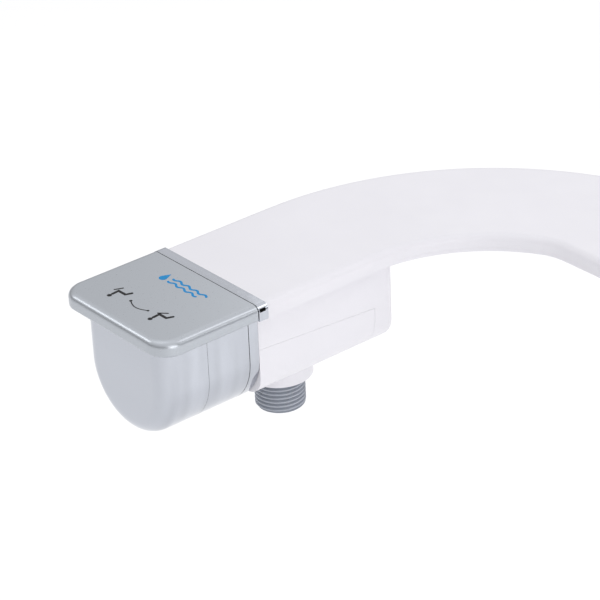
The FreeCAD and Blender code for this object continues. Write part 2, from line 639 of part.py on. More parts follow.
def make_valve_body():
    wall_rear = CHAMBER_REAR_Y + CHAMBER_WALL
    front = V(VALVE_X, VALVE_BODY_FRONT_Y, VALVE_Z)
    body = rod(front, V(0, 1, 0), VALVE_BODY_R, wall_rear - VALVE_BODY_FRONT_Y)
    neck = rod(V(INLET_X, INLET_Y, VALVE_Z - NECK_DROP), V(0, 0, 1), NECK_R, NECK_DROP)
    body = join(body, neck)
    bore = rod(V(VALVE_X, VALVE_BODY_FRONT_Y - 1, VALVE_Z), V(0, 1, 0), DISC_R + 0.4,
               CHAMBER_REAR_Y - VALVE_BODY_FRONT_Y + 1)
    body = body.cut(bore)
    body = body.cut(rod(V(INLET_X, INLET_Y, VALVE_Z - 30), V(0, 0, 1), 5.5, 30))
    body = body.cut(rod(V(INLET_X, INLET_Y, VALVE_Z - NECK_DROP - 1), V(0, 0, 1), SHANK_R + 0.1, 8.0))
    for turn in (-KNOB_TURN, KNOB_TURN):
        body = body.cut(outlet_port(turn, CHAMBER_REAR_Y - 1, wall_rear + 1))
    key = sector(20.0, STOP_KEY_HALF, DRIVE_Y + 0.2, DRIVE_Y + 2.4)
    ring = tube(V(VALVE_X, DRIVE_Y + 0.2, VALVE_Z), V(0, 1, 0), 13.0, 8.2, 2.2)
    return join(body, key.common(ring))


def make_bonnet():
    """Screwed plug that closes the valve chamber and guides the spindle."""
    flange = rod(V(VALVE_X, -154.3, VALVE_Z), V(0, 1, 0), BONNET_R, 154.3 + VALVE_BODY_FRONT_Y)
    plug = rod(V(VALVE_X, VALVE_BODY_FRONT_Y, VALVE_Z), V(0, 1, 0), DISC_R + 0.3, 10.0)
    bonnet = join(flange, plug)
    return bonnet.cut(rod(V(VALVE_X, -160, VALVE_Z), V(0, 1, 0), SPINDLE_R + RUNNING, 40))


def outlet_places():
    return {"rear": V(VALVE_X - PORT_SIDE, MANIFOLD_REAR_Y, HOSE_Z),
            "front": V(VALVE_X + PORT_SIDE, MANIFOLD_REAR_Y, HOSE_Z)}


def barb(start, direction, length):
    """Hose barb: a stem and three saw-tooth rings, with its water way."""
    stem = rod(start, direction, 1.15, length)
    rings = []
    for step in range(3):
        base = start + direction * (length - 1.2 - step * 1.9)
        rings.append(Part.makeCone(1.28, 1.0, 1.2, base, direction))
    return join(stem, *rings).cut(rod(start, direction, BARB_BORE_R, length + 1))


def make_outlet_manifold():
    front = CHAMBER_REAR_Y + CHAMBER_WALL
    block = rod(V(VALVE_X, front, VALVE_Z), V(0, 1, 0), VALVE_BODY_R - 1, MANIFOLD_REAR_Y - front)
    half = PORT_SIDE + 2.6
    riser = box(VALVE_X - half, VALVE_X + half, front, MANIFOLD_REAR_Y, VALVE_Z, HOSE_Z + 2.1)
    manifold = join(block, riser)
    middle_y = (front + MANIFOLD_REAR_Y) / 2
    places = outlet_places()
    for turn, place in ((-KNOB_TURN, places["rear"]), (KNOB_TURN, places["front"])):
        manifold = join(manifold, barb(place - V(0, 0.5, 0), V(0, 1, 0), 8.5))
        manifold = manifold.cut(outlet_port(turn, front - 1, middle_y))
        port_z = VALVE_Z + PORT_R * math.cos(math.radians(turn))
        manifold = manifold.cut(rod(V(place.x, middle_y, port_z), V(0, 0, 1), 1.1, HOSE_Z - port_z))
        manifold = manifold.cut(rod(V(place.x, middle_y, HOSE_Z), V(0, 1, 0), BARB_BORE_R, 4.0))
    return manifold


# ---- water inlet -------------------------------------------------------------------------
def make_inlet_fitting():
    axis = V(0, 0, 1)
    base = V(INLET_X, INLET_Y, THREAD_BOTTOM_Z)
    thread_top_z = BOSS_BOTTOM_Z - FITTING_GAP
    seat = V(INLET_X, INLET_Y, BOSS_BOTTOM_Z + WALL)
    thread = rod(base, axis, THREAD_R, thread_top_z - THREAD_BOTTOM_Z)
    thread = thread.makeChamfer(0.8, edges_at_height(thread, THREAD_BOTTOM_Z))
    neck = rod(V(INLET_X, INLET_Y, thread_top_z), axis, THREAD_R - 0.9, WALL + FITTING_GAP)
    flange = rod(seat, axis, BOSS_R - WALL - 0.3, FITTING_FLANGE)
    shank = rod(seat, axis, SHANK_R, SHANK_TOP_Z - seat.z)
    fitting = join(thread, neck, flange, shank)
    fitting = fitting.cut(rod(base - V(0, 0, 1), axis, INLET_BORE_R, 12.0))
    fitting = fitting.cut(rod(base, axis, FITTING_BORE_R, 60.0))
    groove = tube(V(INLET_X, INLET_Y, SHANK_TOP_Z - 3.6), axis, 10.0, 6.9, 2.0)
    return fitting.cut(groove)


def make_inlet_seal():
    ring = tube(V(INLET_X, INLET_Y, SHANK_TOP_Z - 3.5), V(0, 0, 1), SHANK_R + 0.05, 6.95, 1.8)
    return ring.makeFillet(0.35, [e for e in ring.Edges if e.Length > 40])


def make_inlet_filter():
    base = V(INLET_X, INLET_Y, THREAD_BOTTOM_Z + 2.5)
    cup = rod(base, V(0, 0, 1), INLET_BORE_R - 0.1, 1.2)
    rim = tube(base - V(0, 0, 1.5), V(0, 0, 1), INLET_BORE_R - 0.1, INLET_BORE_R - 1.1, 1.6)
    sieve = join(cup, rim)
    for row in range(-3, 4):
        for column in range(-3, 4):
            x = column * 1.7
            y = row * 1.7
            if math.hypot(x, y) < INLET_BORE_R - 2.0:
                sieve = sieve.cut(rod(base + V(x, y, -1), V(0, 0, 1), 0.6, 4))
    return sieve


# ---- hoses -------------------------------------------------------------------------------
def rounded_route(points, radii):
    """A wire of straight runs joined by tangent arcs, one radius per inner point."""
    edges = []
    at = points[0]
    for before, corner, after, radius in zip(points, points[1:], points[2:], radii):
        inward = (before - corner).normalize()
        outward = (after - corner).normalize()
        half = inward.getAngle(outward) / 2
        reach = radius / math.tan(half)
        start = corner + inward * reach
        end = corner + outward * reach
        bisector = (inward + outward).normalize()
        centre = corner + bisector * (radius / math.sin(half))
        edges.append(Part.makeLine(at, start))
        edges.append(Part.Arc(start, centre - bisector * radius, end).toShape())
        at = end
    edges.append(Part.makeLine(at, points[-1]))
    return Part.Wire(edges)


def make_hose(name):
    """Runs from the valve's outlet barb up into the arm, round the turn and along the bar."""
    start = outlet_places()[name]
    bar_y = HOSE_LANES[name]
    points = [start, V(start.x, bar_y, HOSE_Z), V(MANIFOLD_LEFT_X, bar_y, HOSE_Z)]
    route = rounded_route(points, [HOSE_BEND_R])
    profile = Part.Wire(Part.makeCircle(HOSE_R, start, V(0, 1, 0)))
    bore = Part.Wire(Part.makeCircle(HOSE_BORE_R, start, V(0, 1, 0)))
    outside = route.makePipeShell([profile], True, False)
    inside = route.makePipeShell([bore], True, False)
    hose = outside.cut(inside)
    ideal = math.pi * (HOSE_R ** 2 - HOSE_BORE_R ** 2) * route.Length
    print(f"hose_{name}: length {route.Length:.1f} mm, volume over ideal {hose.Volume / ideal:.4f}")
    return hose


def make_hose_clips():
    """Spring clips that hold each hose end on its barb."""
    clips = []
    for place in outlet_places().values():
        clips.append(tube(place + V(0, 3.2, 0), V(0, 1, 0), CLIP_R, HOSE_R + 0.02, 1.6))
    for bar_y in HOSE_LANES.values():
        clips.append(tube(V(MANIFOLD_LEFT_X - 5.0, bar_y, HOSE_Z), V(1, 0, 0), CLIP_R, HOSE_R + 0.02, 1.6))
    return group(clips)


# ---- nozzles -----------------------------------------------------------------------------
def on_axis(x, s):
    """The point s millimetres out of the mouth along a nozzle's axis."""
    return V(x, MOUTH_Y, MOUTH_Z) + AXIS * s


def make_nozzle_manifold():
    """Flat block in the rear bar that takes both hoses and feeds the two cylinders."""
    block = box(MANIFOLD_LEFT_X, 14.0, -34.5, -11.5, UNDERSIDE_Z + 1.7, TOP_Z - WALL - 0.2)
    for name, x in NOZZLE_X.items():
        bar_y = HOSE_LANES[name]
        block = join(block, barb(V(MANIFOLD_LEFT_X + 0.5, bar_y, HOSE_Z), V(-1, 0, 0), 8.5),
                     rod(V(x, FEED_Y, FEED_Z), V(0, 0, 1), FEED_PIPE_R, HOSE_Z - FEED_Z))
        along = rod(V(MANIFOLD_LEFT_X - 1, bar_y, HOSE_Z), V(1, 0, 0), BARB_BORE_R, x - MANIFOLD_LEFT_X + 1)
        across = rod(V(x, bar_y, HOSE_Z), V(0, 1, 0), BARB_BORE_R, FEED_Y - bar_y)
        down = rod(V(x, FEED_Y, FEED_Z - 1), V(0, 0, 1), FEED_BORE_R, HOSE_Z - FEED_Z + 1)
        block = block.cut(along).cut(across).cut(down)
    return block


def nozzle_block():
    """Side view of the nozzle housing, drawn in the YZ plane and given its width."""
    low = V(0, math.sin(NOZZLE_TILT), -math.cos(NOZZLE_TILT)) * 8.6
    mouth = on_axis(0, 0)
    rear = on_axis(0, -CYLINDER_LENGTH - 2.5)
    points = [mouth + low, mouth - low, V(0, NOZZLE_FRONT_Y, -25.0), V(0, NOZZLE_FRONT_Y, UNDERSIDE_Z),
              V(0, (rear + low).y, UNDERSIDE_Z), rear + low]
    face = Part.Face(Part.makePolygon(points + points[:1]))
    solid = face.extrude(V(2 * NOZZLE_HALF, 0, 0))
    solid.translate(V(-NOZZLE_HALF, 0, 0))
    return solid


def nozzle_pockets():
    """Two hollows above the cylinders, open to the bottom cover, with a rib between them."""
    up = V(0, -math.sin(NOZZLE_TILT), math.cos(NOZZLE_TILT))
    floor = on_axis(0, 0) + up * (CYLINDER_R + NOZZLE_WALL)
    front_y = NOZZLE_FRONT_Y + NOZZLE_WALL
    rear_y = FEED_Y - 7.0
    top_z = UNDERSIDE_Z + 1
    corners = [V(0, front_y, floor.z + (front_y - floor.y) * math.tan(NOZZLE_TILT)), V(0, front_y, top_z),
               V(0, rear_y, top_z), V(0, rear_y, floor.z + (rear_y - floor.y) * math.tan(NOZZLE_TILT))]
    face = Part.Face(Part.makePolygon(corners + corners[:1]))
    half_rib = NOZZLE_WALL / 2
    pockets = []
    for start in (-NOZZLE_HALF + NOZZLE_WALL, half_rib):
        pocket = face.extrude(V(NOZZLE_HALF - NOZZLE_WALL - half_rib, 0, 0))
        pocket.translate(V(start, 0, 0))
        pockets.append(pocket)
    return pockets


def make_nozzle_housing():
    housing = nozzle_block()
    long_edges = [e for e in housing.Edges
                  if e.BoundBox.XLength < 0.01 and e.Length > 20 and e.BoundBox.ZMax < -2.0]
    housing = housing.makeFillet(2.5, long_edges)
    for pocket in nozzle_pockets():
        housing = housing.cut(pocket)
    for x in (-NOZZLE_SPREAD, NOZZLE_SPREAD):
        cylinder = rod(on_axis(x, -CYLINDER_LENGTH), AXIS, CYLINDER_R, CYLINDER_LENGTH - GUIDE_LENGTH)
        guide = rod(on_axis(x, -GUIDE_LENGTH - 1), AXIS, NOZZLE_R + RUNNING, 20)
        feed = rod(V(x, FEED_Y, FEED_Z - 6), V(0, 0, 1), FEED_BORE_R, 30)
        socket = rod(V(x, FEED_Y, FEED_Z - 0.2), V(0, 0, 1), FEED_PIPE_R + 0.1, 30)
        housing = housing.cut(cylinder).cut(guide).cut(feed).cut(socket)
    for side in (-1, 1):
        ear_x = side * (GATE_HALF - 1.6)
        ear = box(ear_x - 1.5, ear_x + 1.5, GATE_PIN_Y - EAR_R, MOUTH_Y, GATE_PIN_Z - EAR_R, UNDERSIDE_Z)
        ear = ear.common(join(box(-40, 40, GATE_PIN_Y, -60, -40, 10),
                              box(-40, 40, -90, -60, GATE_PIN_Z, 10),
                              rod(V(-40, GATE_PIN_Y, GATE_PIN_Z), V(1, 0, 0), EAR_R, 80)))
        shelf = box(min(side * 18.5, side * GATE_HALF), max(side * 18.5, side * GATE_HALF),
                    NOZZLE_FRONT_Y, -62.0, -8.0, UNDERSIDE_Z)
        housing = join(housing, ear, shelf)
    return housing.cut(rod(V(-40, GATE_PIN_Y, GATE_PIN_Z), V(1, 0, 0), GATE_PIN_R + 0.03, 80))


def make_gate_pin():
    return rod(V(-GATE_HALF - 0.3, GATE_PIN_Y, GATE_PIN_Z), V(1, 0, 0), GATE_PIN_R, 2 * GATE_HALF + 0.6)


def make_guard_gate():
    """Flap in front of the nozzle tips, hung on its pin between the housing's ears."""
    barrel_half = GATE_HALF - 3.3
    barrel = rod(V(-barrel_half, GATE_PIN_Y, GATE_PIN_Z), V(1, 0, 0), BARREL_R, 2 * barrel_half)
    skin_y = GATE_PIN_Y - 3.2
    flap_half = GATE_HALF + 2.0
    flap = box(-flap_half, flap_half, skin_y, skin_y + FLAP_THICKNESS, GATE_BOTTOM_Z, GATE_PIN_Z - 3.2)
    corners = [e for e in flap.Edges if e.BoundBox.YLength > 1 and e.BoundBox.ZMax < GATE_BOTTOM_Z + 1]
    flap = flap.makeFillet(6.0, corners)
    arm = box(-barrel_half, barrel_half, skin_y, GATE_PIN_Y, GATE_PIN_Z - 5.0, GATE_PIN_Z)
    gate = join(barrel, flap, arm)
    return gate.cut(rod(V(-40, GATE_PIN_Y, GATE_PIN_Z), V(1, 0, 0), GATE_PIN_R + RUNNING, 80))


def make_nozzle_tube(x):
    piston_front = PISTON_REAR + PISTON_LENGTH
    stem = rod(on_axis(x, piston_front - 0.5), AXIS, NOZZLE_R, -piston_front + 0.5 - TIP_SET_BACK)
    piston = rod(on_axis(x, PISTON_REAR), AXIS, CYLINDER_R - 0.15, PISTON_LENGTH)
    nozzle = join(stem, piston)
    nozzle = nozzle.cut(tube(on_axis(x, PISTON_REAR + 1.2), AXIS, 7.0, 4.2, 1.8))
    return nozzle.cut(rod(on_axis(x, PISTON_REAR - 1), AXIS, NOZZLE_BORE_R, 100))


def make_nozzle_seal(x):
    ring = tube(on_axis(x, PISTON_REAR + 1.3), AXIS, CYLINDER_R - 0.03, 4.25, 1.6)
    return ring.makeFillet(0.3, [e for e in ring.Edges if e.Length > 20])


def make_nozzle_tip(x, holes):
    """Round-nosed spray head with its jets on the upper side."""
    tip = rod(on_axis(x, -TIP_SET_BACK), AXIS, NOZZLE_R, TIP_LENGTH)
    front_point = on_axis(x, TIP_LENGTH - TIP_SET_BACK)
    nose = [e for e in tip.Edges
            if (e.BoundBox.Center - front_point).Length < 0.5 and e.Length > 20]
    tip = tip.makeFillet(1.6, nose)
    tip = tip.cut(rod(on_axis(x, -TIP_SET_BACK - 1), AXIS, NOZZLE_BORE_R, 9.0))
    up = V(0, -math.sin(NOZZLE_TILT), math.cos(NOZZLE_TILT))
    pad = rod(on_axis(x, JET_PLACE) + up * (NOZZLE_R - 0.6), up, 2.2, 2.0)
    tip = tip.cut(pad)
    for k in range(holes):
        offset = V((k - (holes - 1) / 2) * JET_SPACING, 0, 0)
        tip = tip.cut(rod(on_axis(x, JET_PLACE) + offset, up, JET_R, 6.0))
    return tip


def make_nozzle_spring(x):
    """Return spring of square wire, between piston and guide."""
    start = PISTON_REAR + PISTON_LENGTH
    half_wire = SPRING_WIRE / 2
    climb = -GUIDE_LENGTH - start - SPRING_WIRE - 0.4
    helix = Part.Wire(Part.makeHelix(climb / SPRING_TURNS, climb, SPRING_R))
    corners = [V(SPRING_R + side * half_wire, 0, level * half_wire)
               for side, level in ((-1, -1), (1, -1), (1, 1), (-1, 1))]
    section = Part.makePolygon(corners + corners[:1])
    lead = math.degrees(math.atan2(climb, 2 * math.pi * SPRING_R * SPRING_TURNS))
    section.rotate(V(SPRING_R, 0, 0), V(1, 0, 0), lead)
    coil = helix.makePipeShell([section], True, True)
    coil.translate(V(0, 0, half_wire + 0.2))
    coil.Placement = FreeCAD.Placement(on_axis(x, start), FreeCAD.Rotation(V(0, 0, 1), AXIS)).multiply(
        coil.Placement)
    return coil


# ---- the assembly ------------------------------------------------------------------------
def main():
    save(make_top_cover(), "top_cover")
    save(make_bottom_cover(), "bottom_cover")
    save(make_cover_screws(), "cover_screws")
    save(make_pads(), "rubber_pads")
    for side, place in bolt_places().items():
        save(make_bolt_disc(place), f"bolt_disc_{side}")
    save(make_housing(), "valve_housing")
    save(make_housing_cover(), "valve_housing_cover")
    save(make_end_cap(), "housing_end_cap")
    save(make_collar(), "collar_trim")
    save(make_knob_plate(), "knob_plate")
    save(make_knob_shell_front(), "knob_shell_front")
    save(make_knob_shell_rear(), "knob_shell_rear")
    save(make_knob_carrier(), "knob_carrier")
    save(make_knob_screw(), "knob_screw")
    save(make_spindle(), "valve_spindle")
    save(make_spindle_seals(), "spindle_seals")
    save(make_rotor_disc(), "rotor_disc")
    save(make_fixed_disc(), "fixed_disc")
    save(make_valve_body(), "valve_body")
    save(make_bonnet(), "valve_bonnet")
    save(make_outlet_manifold(), "outlet_manifold")
    save(make_inlet_fitting(), "inlet_fitting")
    save(make_inlet_seal(), "inlet_seal")
    save(make_inlet_filter(), "inlet_filter")
    for name in ("front", "rear"):
        save(make_hose(name), f"hose_{name}")
    save(make_hose_clips(), "hose_clips")
    save(make_nozzle_manifold(), "nozzle_manifold")
    save(make_nozzle_housing(), "nozzle_housing")
    save(make_gate_pin(), "gate_pin")
    save(make_guard_gate(), "guard_gate")
    for name, holes in (("front", 3), ("rear", 1)):
        x = NOZZLE_X[name]
        save(make_nozzle_tube(x), f"nozzle_{name}_tube")
        save(make_nozzle_seal(x), f"nozzle_{name}_seal")
        save(make_nozzle_tip(x, holes), f"nozzle_{name}_tip")
        save(make_nozzle_spring(x), f"nozzle_{name}_spring")


main()
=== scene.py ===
"""Looks of the bidet attachment: materials, printed marks, the cut thread and the studio."""
import json
import math

import bmesh
import bpy
from mathutils import Matrix, Vector


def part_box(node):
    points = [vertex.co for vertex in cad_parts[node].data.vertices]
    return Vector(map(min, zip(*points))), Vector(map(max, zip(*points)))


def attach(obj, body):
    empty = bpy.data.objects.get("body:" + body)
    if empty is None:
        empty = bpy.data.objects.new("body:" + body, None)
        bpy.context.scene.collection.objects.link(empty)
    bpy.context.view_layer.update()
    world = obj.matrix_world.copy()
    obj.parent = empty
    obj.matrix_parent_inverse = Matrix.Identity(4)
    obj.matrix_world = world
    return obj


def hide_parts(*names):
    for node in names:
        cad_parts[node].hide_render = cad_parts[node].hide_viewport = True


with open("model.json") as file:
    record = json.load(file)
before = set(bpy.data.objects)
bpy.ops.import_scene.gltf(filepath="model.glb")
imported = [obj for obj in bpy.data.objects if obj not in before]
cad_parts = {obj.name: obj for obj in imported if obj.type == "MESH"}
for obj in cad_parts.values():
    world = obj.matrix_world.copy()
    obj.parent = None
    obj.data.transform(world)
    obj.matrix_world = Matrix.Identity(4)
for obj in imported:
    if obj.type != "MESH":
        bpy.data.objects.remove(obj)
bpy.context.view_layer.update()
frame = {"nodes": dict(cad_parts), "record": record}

MM = 0.001

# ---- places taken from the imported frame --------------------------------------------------
PLATE_LOW, PLATE_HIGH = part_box("knob_plate")
FITTING_LOW, FITTING_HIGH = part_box("inlet_fitting")
COLLAR_LOW, COLLAR_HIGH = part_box("collar_trim")

# ---- the inlet fitting, in millimetres ---------------------------------------------------
THREAD_R = 20.955 / 2
THREAD_PITCH = 1.814
THREAD_DEPTH = 1.162
THREAD_LENGTH = 13.5
THREAD_LEAD_IN = 0.8    # chamfer at the thread's open end
THREAD_RUN_OUT = 0.9
FLANK_STEEPNESS = 1.25
THREAD_SIDES = 160
ROWS_PER_PITCH = 14
INLET_BORE_R = 7.4
INLET_BORE_DEPTH = 11.6
WATERWAY_R = 5.0
NECK_R = THREAD_R - 0.9
NECK_TOP = 16.1         # the neck ends at the flange, this far above the open end
FLANGE_THICKNESS = 2.2
SHANK_R = 8.0
GROOVE_R = 6.9          # O-ring groove in the shank
GROOVE_LOW = 3.6        # its two edges, below the shank's top
GROOVE_HIGH = 1.6

# ---- printed marks on the knob's plate, in millimetres from the plate's middle and front edge ---
PRINT_SINK = 0.02
PRINT_PROUD = 0.03
FIGURE_WIDTH = 1.3
HEAD_R = 1.0
JET_WIDTH = 0.75
FIGURE_Y = 10.9
REAR_FIGURE_X = -14.4
FRONT_FIGURE_X = 11.7
SWEEP_START = (-4.9, 14.2)      # arc between the two figures
SWEEP_SPAN = 11.0
SWEEP_SAG = 1.9
SWEEP_WIDTH = 0.5
SWEEP_STEPS = 16
DROP_PLACE = (-11.2, 34.6)
DROP_R = 1.75
WAVE_START = -7.4
WAVE_ENDS = (13.2, 10.0)        # one wavy line above the other
WAVE_Y = 37.0
WAVE_SPACING = 2.6
WAVE_HEIGHT = 0.55
WAVE_LENGTH = 5.2
WAVE_STEPS = 60
WAVE_WIDTH = 1.0

# ---- studio, in metres -------------------------------------------------------------------
FLOOR_HALF = 6.0
FLOOR_Z = -0.30
SKY = ((0.0, 0.40), (0.12, 0.52), (0.45, 0.84), (1.0, 1.18))    # height in the sky, brightness
CAMERA_PLACE = (0.48369, -0.67498, 0.47109)
CAMERA_ANGLES = (51.24, 28.47, -2.57)   # azimuth, elevation and roll, in degrees
CAMERA_LENS = 152.28
SENSOR_WIDTH = 36.0


# ---- node materials ----------------------------------------------------------------------
class Material:
    """A procedural material, built by short calls. Distances are in millimetres."""

    def __init__(self, name, color, roughness, metallic=0.0, **sockets):
        self.material = bpy.data.materials.new(name)
        self.material.use_nodes = True
        self.tree = self.material.node_tree
        self.shader = self.tree.nodes["Principled BSDF"]
        self.color = color
        self.shader.inputs["Base Color"].default_value = (*color, 1.0)
        self.shader.inputs["Roughness"].default_value = roughness
        self.shader.inputs["Metallic"].default_value = metallic
        for socket, value in sockets.items():
            self.shader.inputs[socket.replace("_", " ")].default_value = value
        coordinates = self.node("ShaderNodeTexCoord")
        self.mm = self.node("ShaderNodeVectorMath", operation="SCALE")
        self.link(coordinates.outputs["Object"], self.mm.inputs[0])
        self.mm.inputs["Scale"].default_value = 1000.0

    def node(self, kind, **settings):
        made = self.tree.nodes.new(kind)
        for key, value in settings.items():
            setattr(made, key, value)
        return made

    def link(self, output, socket):
        self.tree.links.new(output, socket)

    def stretched(self, x, y, z):
        """Millimetre coordinates, each axis multiplied."""
        node = self.node("ShaderNodeVectorMath", operation="MULTIPLY")
        self.link(self.mm.outputs[0], node.inputs[0])
        node.inputs[1].default_value = (x, y, z)
        return node.outputs[0]

    def noise(self, size, detail=2.0, stretch=(1.0, 1.0, 1.0)):
        """Noise whose blobs are about so many millimetres across."""
        node = self.node("ShaderNodeTexNoise")
        self.link(self.stretched(*[s / size for s in stretch]), node.inputs["Vector"])
        node.inputs["Scale"].default_value = 1.0
        node.inputs["Detail"].default_value = detail
        return node.outputs["Fac"]

    def ranged(self, value, low, high):
        node = self.node("ShaderNodeMapRange")
        self.link(value, node.inputs["Value"])
        node.inputs["From Min"].default_value = 0.3
        node.inputs["From Max"].default_value = 0.7
        node.inputs["To Min"].default_value = low
        node.inputs["To Max"].default_value = high
        return node.outputs["Result"]

    def added(self, first, second, operation="ADD"):
        node = self.node("ShaderNodeMath", operation=operation)
        self.link(first, node.inputs[0])
        self.link(second, node.inputs[1])
        return node.outputs[0]

    def shade(self, brightness):
        """Base colour times a brightness pattern around 1."""
        node = self.node("ShaderNodeVectorMath", operation="SCALE")
        node.inputs[0].default_value = self.color
        self.link(brightness, node.inputs["Scale"])
        self.link(node.outputs[0], self.shader.inputs["Base Color"])

    def rough(self, value):
        self.link(value, self.shader.inputs["Roughness"])

    def bump(self, height, depth_mm):
        node = self.node("ShaderNodeBump")
        self.link(height, node.inputs["Height"])
        node.inputs["Distance"].default_value = depth_mm * MM
        node.inputs["Strength"].default_value = 1.0
        self.link(node.outputs["Normal"], self.shader.inputs["Normal"])


def moulded(name, color, roughness, grain=0.5, tone=0.012, depth=0.004):
    """Moulded plastic: slow colour drift, fine satin grain and slightly uneven gloss."""
    m = Material(name, color, roughness)
    drift = m.ranged(m.noise(38.0), 1 - tone, 1 + tone)
    speckle = m.ranged(m.noise(grain, 3.0), 1 - tone * 0.6, 1 + tone * 0.6)
    m.shade(m.added(drift, speckle, "MULTIPLY"))
    m.rough(m.ranged(m.noise(9.0, 4.0), roughness - 0.04, roughness + 0.05))
    m.bump(m.added(m.noise(grain, 3.0), m.noise(14.0, 1.0)), depth)
    return m.material


def plated(name, color, roughness, flake, tone, depth, painted_reflection_streak=0.0):
    """Silver or chrome plating on plastic: flake or polish marks, a faint waviness, and optionally
    upright streaks of painted reflection in the colour.
    """
    m = Material(name, color, roughness, metallic=1.0)
    pattern = m.ranged(m.noise(flake, 3.0), 1 - tone, 1 + tone)
    # Upright streaks in the base colour are painted reflection: they stand in for the studio's
    # reflections on the chrome's sides.
    if painted_reflection_streak:
        painted_reflections = m.noise(6.0, 1.5, stretch=(0.0, 1.0, 0.14))
        pattern = m.added(pattern, m.ranged(painted_reflections, 1 - painted_reflection_streak, 1 + painted_reflection_streak), "MULTIPLY")
    m.shade(pattern)
    m.rough(m.ranged(m.noise(flake * 2, 4.0), roughness - 0.03, roughness + 0.04))
    m.bump(m.added(m.noise(flake, 2.0), m.noise(16.0, 1.0)), depth)
    return m.material


def turned(name, color, roughness, across):
    """Turned metal: fine grooves across one axis, in a slowly varying tone."""
    m = Material(name, color, roughness, metallic=1.0)
    stretch = [0.02, 0.02, 0.02]
    stretch[across] = 1.0
    grooves = m.noise(0.18, 2.0, stretch=stretch)
    m.shade(m.ranged(m.noise(3.0, 3.0), 0.93, 1.06))
    m.rough(m.ranged(grooves, roughness - 0.06, roughness + 0.1))
    m.bump(grooves, 0.01)
    return m.material


def rubber(name):
    m = Material(name, (0.035, 0.035, 0.037), 0.75)
    m.shade(m.ranged(m.noise(1.5, 4.0), 0.75, 1.4))
    m.rough(m.ranged(m.noise(2.5, 3.0), 0.66, 0.85))
    m.bump(m.noise(0.35, 3.0), 0.02)
    return m.material


def lapped_ceramic(name):
    m = Material(name, (0.83, 0.81, 0.76), 0.18)
    m.shade(m.ranged(m.noise(4.0, 5.0), 0.95, 1.04))
    m.rough(m.ranged(m.noise(0.8, 2.0), 0.12, 0.26))
    m.bump(m.noise(0.2, 2.0), 0.002)
    return m.material


def clear_tube(name):
    m = Material(name, (0.86, 0.9, 0.92), 0.2, Transmission_Weight=0.7, IOR=1.43)
    m.shade(m.ranged(m.noise(6.0, 2.0), 0.94, 1.03))
    m.rough(m.ranged(m.noise(2.0, 3.0), 0.14, 0.3))
    m.bump(m.noise(3.0, 2.0), 0.01)
    return m.material


def print_ink(name, color):
    m = Material(name, color, 0.5, Specular_IOR_Level=0.15)
    m.shade(m.ranged(m.noise(0.6, 3.0), 0.88, 1.12))
    m.rough(m.ranged(m.noise(0.4, 2.0), 0.38, 0.55))
    m.bump(m.noise(0.25, 2.0), 0.003)
    return m.material


def paint_shade_inside(material, low, high, shade):
    """Paints shade into the material inside one box in the CAD frame, here the collar's slot: a dark
    matte patch stands for the shade in the slot.
    """
    tree = material.node_tree
    shader = tree.nodes["Principled BSDF"]
    output = tree.nodes["Material Output"]
    coordinates = tree.nodes.new("ShaderNodeTexCoord")
    split = tree.nodes.new("ShaderNodeSeparateXYZ")
    tree.links.new(coordinates.outputs["Object"], split.inputs[0])
    inside = None
    for axis in range(3):
        test = tree.nodes.new("ShaderNodeMath")
        test.operation = "COMPARE"
        tree.links.new(split.outputs[axis], test.inputs[0])
        test.inputs[1].default_value = (low[axis] + high[axis]) / 2
        test.inputs[2].default_value = (high[axis] - low[axis]) / 2
        if inside is None:
            inside = test.outputs[0]
            continue
        both = tree.nodes.new("ShaderNodeMath")
        both.operation = "MULTIPLY"
        tree.links.new(inside, both.inputs[0])
        tree.links.new(test.outputs[0], both.inputs[1])
        inside = both.outputs[0]
    dark = tree.nodes.new("ShaderNodeBsdfPrincipled")
    dark.inputs["Base Color"].default_value = (*shade, 1.0)
    dark.inputs["Roughness"].default_value = 0.6
    mix = tree.nodes.new("ShaderNodeMixShader")
    tree.links.new(inside, mix.inputs[0])
    tree.links.new(shader.outputs[0], mix.inputs[1])
    tree.links.new(dark.outputs[0], mix.inputs[2])
    tree.links.new(mix.outputs[0], output.inputs["Surface"])


MATERIALS = {
    "white_plastic": moulded("white_plastic", (0.728, 0.718, 0.757), 0.34),
    "satin_silver": plated("satin_silver", (0.455, 0.48, 0.515), 0.30, 0.3, 0.02, 0.0008),
    # Bright chrome carries upright streaks of painted reflection in its colour.
    "bright_chrome": plated("bright_chrome", (0.500, 0.521, 0.568), 0.10, 0.8, 0.01, 0.0004, painted_reflection_streak=0.07),
    "grey_plastic": moulded("grey_plastic", (0.355, 0.38, 0.43), 0.40, 0.4, 0.05, 0.008),
    "inner_plastic": moulded("inner_plastic", (0.62, 0.62, 0.58), 0.55, 0.7, 0.03, 0.01),
    "brass": turned("brass", (0.72, 0.5, 0.2), 0.28, 1),
    "ceramic": lapped_ceramic("ceramic"),
    "stainless": turned("stainless", (0.56, 0.57, 0.58), 0.25, 2),
    "rubber": rubber("rubber"),
    "clear_hose": clear_tube("clear_hose"),
}

for part in frame["record"]["subparts"]:
    mesh = frame["nodes"][part["node"]].data
    mesh.materials.clear()
    mesh.materials.append(MATERIALS[part["material_slot"]])

# Painted shade: a near-black matte box in the collar's chrome stands for the shade inside its slot.
collar_material = MATERIALS["bright_chrome"].copy()
collar_material.name = "collar_chrome_painted_slot_shade"
NOTCH_LOW = (COLLAR_HIGH[0] - 1.7 * MM, COLLAR_LOW[1] + 0.35 * MM, 6.25 * MM)
NOTCH_HIGH = (COLLAR_HIGH[0] - 0.05 * MM, COLLAR_LOW[1] + 3.35 * MM, 7.65 * MM)
paint_shade_inside(collar_material, NOTCH_LOW, NOTCH_HIGH, (0.012, 0.012, 0.014))
frame["nodes"]["collar_trim"].data.materials[0] = collar_material


